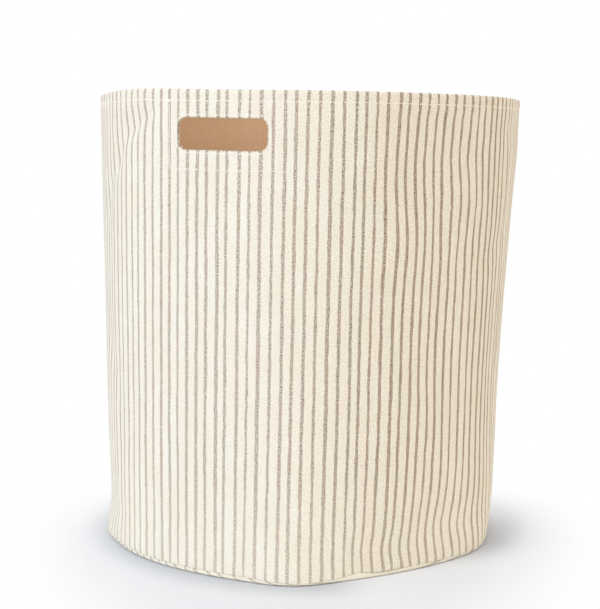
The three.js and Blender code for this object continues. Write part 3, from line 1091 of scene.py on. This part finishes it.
def spin_section(name, section):
    """Draws a section of insets and heights, and spins it into a thin shell of the plain drum."""
    bpy.ops.object.select_all(action="DESELECT")
    first = (rim_radius - section[0][0], 0, section[0][1])
    bpy.ops.mesh.primitive_plane_add(size=seed_size, location=first)
    piece = bpy.context.object
    piece.name = piece.data.name = name
    bpy.ops.object.transform_apply(location=True)
    drop_maps(piece)
    bpy.ops.object.mode_set(mode="EDIT")
    bpy.ops.mesh.select_mode(type="VERT")
    bpy.ops.mesh.select_all(action="SELECT")
    bpy.ops.mesh.merge(type="CENTER")
    for (inset, height), (next_inset, next_height) in zip(section, section[1:]):
        bpy.ops.mesh.extrude_vertices_move(
            TRANSFORM_OT_translate={"value": (inset - next_inset, 0, next_height - height)}
        )
    bpy.ops.mesh.select_all(action="SELECT")
    bpy.ops.mesh.spin(steps=spin_steps, angle=2 * math.pi, center=(0, 0, 0), axis=(0, 0, 1))
    bpy.ops.mesh.select_all(action="SELECT")
    bpy.ops.mesh.remove_doubles(threshold=weld)
    bpy.ops.mesh.normals_make_consistent(inside=False)
    bpy.ops.object.mode_set(mode="OBJECT")
    return piece


def lengths_along(line):
    """How far along a line of straight runs each of its points lies."""
    return np.concatenate([[0], np.cumsum(np.hypot(*np.diff(line, axis=0).T))])


def plain_drum(piece, section):
    """Inset, height, direction and place along the section of a spun piece's points, and how
    long the section is."""
    x, y, height = points_of(piece).T
    inset = rim_radius - np.hypot(x, y)
    section = np.array(section)
    lengths = lengths_along(section)
    apart = np.hypot(inset[:, None] - section[:, 0], height[:, None] - section[:, 1])
    return inset, height, np.arctan2(y, x), lengths[apart.argmin(axis=1)], lengths[-1]


# %% Spin the canvas base
binding_inset = lining_inset + lining_thickness + thread_thickness + 2 * thread_gap
base_upstand_inset = binding_inset + tape_thickness + cloth_gap
roll_turn = 0.0007
inner_turn = 0.0005
stripe_run = math.radians(45)
base_section = (
    [(inset, 0.0) for inset in np.linspace(rim_radius, 0.012, 28)]
    + [(0.008, 0.0), (0.006, 0.0)]
    + arc((base_roll, base_roll), base_roll, 270, 180, 10)
    + arc((roll_turn, roll_top - roll_turn), roll_turn, 180, 90, 5)
    + arc((base_upstand_inset - inner_turn, roll_top + inner_turn), inner_turn, 270, 360, 4)
    + [(base_upstand_inset, height) for height in np.linspace(roll_top + 0.002, upstand_top, 4)]
)
base = spin_section("base_disc", base_section)
inset, height, direction, reach, base_cut_radius = plain_drum(base, base_section)
map_cloth(base, reach * np.sin(direction - stripe_run), reach * np.cos(direction - stripe_run))
move_points(base, slumped(inset, height, direction))
thicken(base, canvas_thickness)
finish_piece(base, "outer_base", "striped_canvas")

# %% [markdown]
# ### The lining of the base
# The lining's disc lies loose on the canvas and turns up at the edge. Cut a little large, it puffs
# up in low, broad waves, which the light from above shows well.

# %% Spin the lining base
lining_floor = canvas_thickness + cloth_gap
lining_upstand_inset = base_upstand_inset + canvas_thickness + cloth_gap
floor_turn = 0.0013
puff_size = 0.0007
puff_start = 0.012
puff_ramp = 0.03
floor_slack = 0.0001
lining_base_section = (
    [(inset, lining_floor) for inset in np.linspace(rim_radius, 0.015, 36)]
    + [(0.011, lining_floor)]
    + arc((lining_upstand_inset + floor_turn, lining_floor + floor_turn), floor_turn, 270, 180, 6)
    + [(lining_upstand_inset, height) for height in np.linspace(0.005, upstand_top, 5)]
)
lining_base = spin_section("lining_disc", lining_base_section)
inset, height, direction, reach, lining_cut_radius = plain_drum(lining_base, lining_base_section)
map_cloth(lining_base, reach * np.cos(direction), reach * np.sin(direction))
east, north = (rim_radius - inset) * np.cos(direction), (rim_radius - inset) * np.sin(direction)
waves = np.sin(31 * east + 2.1 * np.sin(23 * north))
waves = waves + np.sin(37 * north + 1.7 * np.sin(19 * east) + 1)
waves = waves + 0.6 * np.sin(71 * east - 53 * north + 1.3 * np.sin(61 * north))
inner = np.clip((inset - puff_start) / puff_ramp, 0, 1) * (height < lining_floor + floor_slack)
puffs = puff_size * np.maximum(waves + 0.9, 0) * inner
move_points(lining_base, slumped(inset, height + puffs, direction))
thicken(lining_base, lining_thickness)
finish_piece(lining_base, "lining_base", "tan_lining")

# %% [markdown]
# ## The bindings
# Cotton tape is folded over every raw edge inside, so that nothing frays. Round the base it
# follows the ring of allowances, and at each side it covers the ridge where the panels meet. The
# fold is round, and the tape ripples slightly, as tape sewn to a curve does.

# %% Spin the base binding
lining_base_inner = lining_upstand_inset + lining_thickness
binding_inner_inset = lining_base_inner + cloth_gap
binding_depth = binding_inner_inset + tape_thickness
binding_top = upstand_top + cloth_gap + tape_thickness
fold = 0.0012
fold_start = binding_top - 0.003
tape_ripple = 0.0002
ripple_ramp = 0.01
binding_section = (
    [(binding_inset, height) for height in np.linspace(wall_bottom, fold_start, 5)]
    + arc((binding_inset + fold, binding_top - fold), fold, 180, 90, 5)
    + arc((binding_depth - fold, binding_top - fold), fold, 90, 0, 5)
    + [(binding_depth, height) for height in np.linspace(fold_start, wall_bottom, 5)]
)


def ripple_along(length, seed):
    """A gentle, uneven ripple along a tape, from -1 to 1."""
    return (np.sin(length * 131 + seed) + np.sin(length * 211 + 2 * seed) * 0.7) / 1.7


def map_ring(piece, directions, v):
    """Writes a ring's UV map, with no face that spans the place where the angle starts again."""
    layer = piece.data.uv_layers.new(name="cloth")
    for face in piece.data.polygons:
        start = directions[face.vertices[0]]
        for corner, vertex in zip(face.loop_indices, face.vertices):
            turn = (directions[vertex] - start + math.pi) % (2 * math.pi) - math.pi
            layer.data[corner].uv = ((start + turn) * base_radius, v[vertex])


binding = spin_section("base_tape", binding_section)
inset, height, direction, reach, binding_width = plain_drum(binding, binding_section)
map_ring(binding, direction, reach)
ripple = tape_ripple * (ripple_along(direction * base_radius, 1.0) - 1)
ripple = ripple * (height - wall_bottom) / ripple_ramp
move_points(binding, slumped(inset, height + ripple, direction))
thicken(binding, tape_thickness)
finish_piece(binding, "base_binding", "cotton_tape")

# %% Fold the side bindings
binding_flange = lining_flange + lining_thickness + cloth_gap
binding_half_width = binding_flange + tape_thickness
ridge_inner = ridge_depth + cloth_gap + tape_thickness
flat_end = binding_half_width - fold
bend_length = fold * math.pi / 2
tape_half = flat_end + bend_length + ridge_inner - fold - hem_inset
ripple_start = hem_inset + 0.008
seams = (("right", 0.0), ("left", math.pi))


def fold_tape(x):
    """Flat place across a side tape to a depth and a distance from the seam's plane."""
    bend, beyond = bend_at(np.abs(x), flat_end, fold, math.pi / 2)
    depth = ridge_inner - fold * (1 - np.cos(bend)) - beyond
    aside = np.where(bend > 0, flat_end + fold * np.sin(bend), np.abs(x))
    return depth, np.sign(x) * aside


for side, seam_angle in seams:
    tape = cut_cloth(f"side_tape_{side}", -tape_half, tape_half, ridge_bottom, ridge_top)
    bpy.ops.object.mode_set(mode="EDIT")
    cut_lines(lines_at_sides(flat_end, [bend_length * step / 4 for step in range(5)]))
    bpy.ops.object.mode_set(mode="OBJECT")
    x, y, _ = points_of(tape).T
    map_cloth(tape, x, y)
    depth, aside = fold_tape(x)
    ripple = tape_ripple * ripple_along(y, 3.0 + seam_angle)
    depth = depth + ripple * (depth > ripple_start)
    move_points(tape, slumped(depth, y, seam_angle - aside / (rim_radius - depth)))
    thicken(tape, tape_thickness)
    finish_piece(tape, f"side_binding_{side}", "cotton_tape")
    2 * tape_half

# %% [markdown]
# ## The stitches
# A lockstitch shows on each face as a row of short dashes that dive into the cloth at both ends.
# One stitch is made from a small sphere, drawn out long and bent down at its tips. Thousands are
# needed, so it has only a few dozen faces. Each row is one mesh of copies, laid along the row on
# the cloth's own surface.

# %% Model one stitch
stitch_pitch = 0.0034
stitch_length = 0.0030
stitch_thickness = 0.0011


def out_from_middle(start, end=1.0):
    """A test for vertices that lie between two shares of the stitch's length from its middle."""
    return lambda vertex: start < abs(vertex.co.z) / stitch_length < end


bpy.ops.object.select_all(action="DESELECT")
bpy.ops.mesh.primitive_uv_sphere_add(segments=6, ring_count=6, radius=0.5, location=(0, 0, 0))
stitch = bpy.context.object
bpy.ops.object.mode_set(mode="EDIT")
bpy.ops.mesh.select_all(action="SELECT")
stitch_size = (stitch_thickness, stitch_thickness, stitch_length)
bpy.ops.transform.resize(value=stitch_size, center_override=(0, 0, 0))
choose(stitch, "VERT", out_from_middle(0.4, 0.45))
bpy.ops.transform.resize(value=(1.6, 1.6, 1), center_override=(0, 0, 0))
for start, drop in ((0.4, 0.25), (0.45, 0.3)):
    choose(stitch, "VERT", out_from_middle(start))
    bpy.ops.transform.translate(value=(-stitch_thickness * drop, 0, 0))
bpy.ops.object.mode_set(mode="OBJECT")
stitch_points = points_of(stitch)
stitch_faces = [tuple(face.vertices) for face in stitch.data.polygons]
bpy.data.objects.remove(stitch)
print("one stitch:", len(stitch_faces), "faces")

# %% [markdown]
# No sewer is a ruler: the machine pulls each stitch a little aslant, and some come out longer.
# The two draws for a row are made in the order of the rows, from a fixed seed.

# %% Lay rows of copies
stitch_chance = np.random.default_rng(5)


def unit(vectors):
    """Vectors drawn out to length 1, one row each."""
    return vectors / np.linalg.norm(vectors, axis=1, keepdims=True)


def lay_stitches(name, node, rows):
    """Copies the stitch along rows; each row gives the places of its stitches' two ends, on the
    cloth's surface, and the way out of the cloth there."""
    points, faces = [], []
    for first, last, out in rows:
        along = unit(last - first)
        out = unit(out - (out * along).sum(1, keepdims=True) * along)
        side = np.cross(out, along)
        slant = stitch_chance.normal(0.06, 0.03, (len(along), 1))
        along = along * np.cos(slant) + side * np.sin(slant)
        side = np.cross(out, along)
        long = stitch_chance.normal(1, 0.03, (len(along), 1, 1))
        middle = (first + last) / 2
        copies = (
            middle[:, None]
            + out[:, None] * stitch_points[None, :, 0:1]
            + side[:, None] * stitch_points[None, :, 1:2]
            + along[:, None] * stitch_points[None, :, 2:3] * long
        )
        for copy in copies:
            base_index = len(points) * len(stitch_points)
            points.append(copy)
            faces.extend(tuple(base_index + v for v in face) for face in stitch_faces)
    mesh = bpy.data.meshes.new(name)
    mesh.from_pydata(np.concatenate(points), [], faces)
    piece = bpy.data.objects.new(name, mesh)
    bpy.context.scene.collection.objects.link(piece)
    pick(piece)
    bpy.ops.object.mode_set(mode="EDIT")
    bpy.ops.mesh.select_all(action="SELECT")
    bpy.ops.mesh.normals_make_consistent(inside=False)
    bpy.ops.object.mode_set(mode="OBJECT")
    bpy.ops.object.shade_smooth()
    finish_piece(piece, node, "white_thread")


def spread(start, end):
    """Evenly spaced pairs of a stitch's ends along one measure."""
    edges = np.linspace(start, end, max(1, round((end - start) / stitch_pitch)) + 1)
    return edges[:-1], edges[1:]


def outwards(direction, outward):
    """Level vectors away from the drum's axis, or towards it where outward is -1."""
    return np.stack([np.cos(direction), np.sin(direction), 0 * direction], axis=1) * outward


def row_on(rule, slot_angle, x_ends, y_ends, outward):
    """A row between flat points, on the surface that a ply's rule gives."""
    ends = []
    for x, y in zip(x_ends, y_ends):
        inset, height, turn = rule(*np.broadcast_arrays(x, y))
        ends.append(slumped(inset, height, slot_angle + turn))
    return *ends, outwards(slot_angle + turn, outward)


# %% The hem's two rows
hem_reach = panel_half - 0.0022
across = spread(-hem_reach, hem_reach)
for name, node, height, outward in (
    ("hem_stitches", "hem_needle_thread", hem_stitch_height, 1.0),
    ("hem_stitches_inside", "hem_bobbin_thread", hem_row_inside, -1.0),
):
    rows = [row_on(lay_canvas, angle, across, (height, height), outward) for _, angle in sides]
    lay_stitches(name, node, rows)


# %% The rows round the facings and the slots
def open_path(corners):
    """Stitch ends along straight runs between corners."""
    starts, ends = [], []
    for (x0, y0), (x1, y1) in zip(corners, corners[1:]):
        number = max(1, round(math.hypot(x1 - x0, y1 - y0) / stitch_pitch))
        shares = np.linspace(0, 1, number + 1)
        line = np.stack([x0 + (x1 - x0) * shares, y0 + (y1 - y0) * shares], axis=1)
        starts.append(line[:-1])
        ends.append(line[1:])
    starts, ends = np.concatenate(starts), np.concatenate(ends)
    return (starts[:, 0], ends[:, 0]), (starts[:, 1], ends[:, 1])


def slot_path(margin):
    """Stitch ends evenly round the slot."""
    half_x, half_y = slot_width / 2 + margin, slot_height / 2 + margin
    corner = slot_corner + margin
    outline = []
    for quarter, (sign_x, sign_y) in enumerate(((1, 1), (-1, 1), (-1, -1), (1, -1))):
        for turn in np.radians(np.linspace(0, 90, 13) + 90 * quarter):
            x = sign_x * (half_x - corner) + corner * math.cos(turn)
            y = slot_middle + sign_y * (half_y - corner) + corner * math.sin(turn)
            outline.append((x, y))
    outline = np.array(outline + outline[:1])
    lengths = lengths_along(outline)
    even = np.linspace(0, lengths[-1], round(lengths[-1] / stitch_pitch) + 1)
    x, y = np.interp(even, lengths, outline[:, 0]), np.interp(even, lengths, outline[:, 1])
    return (x[:-1], x[1:]), (y[:-1], y[1:])


def facing_path(top):
    """Stitch ends down one side of the facing, along its bottom and up the other side."""
    left, right = facing_sides
    bottom = facing_stitch_bottom
    return open_path([(left, top), (left, bottom), (right, bottom), (right, top)])


def lay_inner_face(x, y):
    """The rule for a facing's inner face."""
    return facing_inset + facing_thickness + 0 * x, y, x / rim_radius


backtack = open_path(
    [
        (facing_sides[0] + x, hem_stitch_height + y)
        for x, y in ((-0.003, 0.0004), (0.003, 0.0002), (-0.0026, -0.0005), (0.0024, -0.0004))
    ]
)
outer_path = facing_path(hem_stitch_height - 0.0004)
inner_path = facing_path(hem_return_bottom - 0.0006)
round_slot = slot_path(slot_stitch_margin)
slot_rows = (
    ("facing_stitches", "facing_needle_thread", lay_canvas, 1.0, (outer_path, backtack)),
    ("facing_stitches_inside", "facing_bobbin_thread", lay_inner_face, -1.0, (inner_path,)),
    ("slot_stitches", "slot_edge_needle_thread", lay_canvas, 1.0, (round_slot,)),
    ("slot_stitches_inside", "slot_edge_bobbin_thread", lay_inner_face, -1.0, (round_slot,)),
)
for side, angle in sides:
    for name, thread, rule, outward, paths in slot_rows:
        rows = [row_on(rule, angle, *path, outward) for path in paths]
        lay_stitches(f"{name}_{side}", f"{thread}_{side}", rows)


# %% The rows through the bindings
base_stitch_height = roll_top + 0.005
side_row_inset = hem_inset + 0.006


def ring_row(inset, outward):
    """A row round the foot of the wall."""
    ends = [edge / base_radius for edge in spread(0, 2 * math.pi * base_radius)]
    first, last = (slumped(inset, base_stitch_height, direction) for direction in ends)
    return first, last, outwards((ends[0] + ends[1]) / 2, outward)


lay_stitches("base_stitches", "base_seam_needle_thread", [ring_row(binding_depth, -1.0)])
lay_stitches("base_stitches_outside", "base_seam_bobbin_thread", [ring_row(binding_inset, 1.0)])

for side, seam_angle in seams:
    for thread, aside in (("needle", 1), ("bobbin", -1)):
        turn = seam_angle + aside * binding_half_width / (rim_radius - side_row_inset)
        low, high = spread(ridge_bottom + 0.001, ridge_top - 0.001)
        first, last = (slumped(side_row_inset, ends, turn) for ends in (low, high))
        out = [-aside * math.sin(seam_angle), aside * math.cos(seam_angle), 0.0]
        rows = [(first, last, np.tile(out, (len(low), 1)))]
        lay_stitches(f"side_stitches_{thread}_{side}", f"side_seam_{thread}_thread_{side}", rows)

# %% [markdown]
# ## The floor and the background
# Everything behind is plain white. The floor is white too, but the bin's shadow on it must show,
# and then fade with no edge into that white. So the camera sees a grey floor with its shadow in an
# oval near the bin and at its front, and plain white beyond. The grey is darkest close to the
# foot, where the shadow of the contact lies, and lightest at the front right, where the warm lamp
# clears it. Light that bounces off the floor ignores all that: the floor is white to it, and a
# little less so far away, which keeps the foot of the wall bright.

# %% Floor
shadow_grey = (0.775, 0.802, 0.885, 1)
contact_grey = (0.56, 0.588, 0.66, 1)
open_grey = (0.815, 0.848, 0.94, 1)
near_bounce = (0.98, 1.0, 1.0, 1)
far_bounce = (0.87, 0.87, 0.87, 1)
floor_size = 16
floor_drop = 0.0002
# Distances in metres over which one look turns into the next
contact_fade = (0.222, 0.268)
oval_fade = (0.205, 0.34)
oval_shape = (1.03, 0.72)
back_fade = (-0.12, 0.10)
front_fade = (0.10, 0.18)
right_fade = (0.0, 0.08)
bounce_fade = (0.4, 1.0)

bpy.ops.object.select_all(action="DESELECT")
bpy.ops.mesh.primitive_plane_add(size=floor_size, location=(0, 0, -floor_drop))
floor = bpy.context.object
floor.name = "floor"
bpy.ops.object.transform_apply(location=True)

tree = new_finish("floor_white", 0.9, specular=0.1)
place = add_node(tree, "TexCoord", "Object", {})


def measure_along(direction):
    """How far a floor point lies from the bin's middle in one direction."""
    return add_node(tree, "VectorMath", "Value", {0: place, 1: direction}, operation="DOT_PRODUCT")


def mix_light(share, first, second):
    """One shader where the share is 0, another where it is 1."""
    inputs = {"Fac": share, 1: first, 2: second}
    return add_node(share.tree, "MixShader", "Shader", inputs)


sideways = measure_along((math.cos(view_turn), math.sin(view_turn), 0))
frontways = measure_along((math.sin(view_turn), -math.cos(view_turn), 0))
oval = length_of(place_of(sideways * oval_shape[0], frontways * oval_shape[1]))
near = (1.0 - step_between(oval, *oval_fade)) * step_between(frontways, *back_fade)
front_right = step_between(frontways, *front_fade) * step_between(sideways, *right_fade)
reach = length_of(place)
floor_grey = mix(step_between(reach, *contact_fade), contact_grey, shadow_grey)
floor_grey = mix(front_right, floor_grey, open_grey)
bounce = mix(step_between(reach, *bounce_fade), near_bounce, far_bounce)
seen = add_node(tree, "LightPath", "Is Camera Ray", {})
shader = tree.nodes["Principled BSDF"]
put(shader.inputs["Base Color"], mix(seen, bounce, floor_grey))
glow = add_node(tree, "Emission", "Emission", {})
surface = mix_light((1.0 - near) * seen, Field(shader.outputs["BSDF"]), glow)
put(tree.nodes["Material Output"].inputs["Surface"], surface)
floor.data.materials.append(finishes["floor_white"])
print("floor:", len(tree.nodes), "nodes")

# %% World
room_tint = (1.0, 0.972, 0.92, 1)
room_strength = 0.61
world = bpy.data.worlds.new("studio")
bpy.context.scene.world = world
world.use_nodes = True
tree = world.node_tree
unseen = tree.nodes["Background"]
unseen.inputs["Color"].default_value = room_tint
unseen.inputs["Strength"].default_value = room_strength
white = {"Color": (1, 1, 1, 1), "Strength": 1.0}
kinds = ("Camera", "Glossy", "Transmission")
seen, glossy, through = (add_node(tree, "LightPath", f"Is {kind} Ray", {}) for kind in kinds)
direct = maths("MAXIMUM", maths("MAXIMUM", seen, glossy), through)
backdrop = add_node(tree, "Background", "Background", white)
surface = mix_light(direct, Field(unseen.outputs["Background"]), backdrop)
put(tree.nodes["World Output"].inputs["Surface"], surface)
print("world:", len(tree.nodes), "nodes")

# %% [markdown]
# ## Studio lights
# Four soft lamps light the bin. The strongest stands to the left of the camera and is slightly
# cool. A warm one from the right turns that side of the wall cream. One hangs above, a little in
# front, so that light also falls inside, and one behind keeps the far side from going dark.

# %% Lights
# Degrees right of the camera, distance, height, height aimed at, size, watts, colour
lamps = {
    "key": (-46, 2.2, 0.95, 0.22, 1.4, 17.3, (0.92, 0.94, 0.96)),
    "fill": (60, 2.4, 0.68, 0.20, 1.3, 12.4, (1.0, 0.703, 0.33)),
    "overhead": (-15, 0.8, 2.2, 0.3, 1.5, 15, (0.945, 0.985, 0.935)),
    "behind": (170, 2.4, 1.4, 0.25, 1.6, 14, (1.0, 0.98, 0.95)),
}
for name, (degrees_right, distance, height, aim, size, watts, tint) in lamps.items():
    data = bpy.data.lights.new(name, "AREA")
    data.shape = "SQUARE"
    data.size = size
    data.energy = watts
    data.color = tint
    lamp = bpy.data.objects.new(name, data)
    turn = view_turn + math.radians(degrees_right)
    lamp.location = (distance * math.sin(turn), -distance * math.cos(turn), height)
    lamp.rotation_euler = (math.atan2(distance, height - aim), 0, turn)
    bpy.context.scene.collection.objects.link(lamp)
print(len(lamps), "lamps")
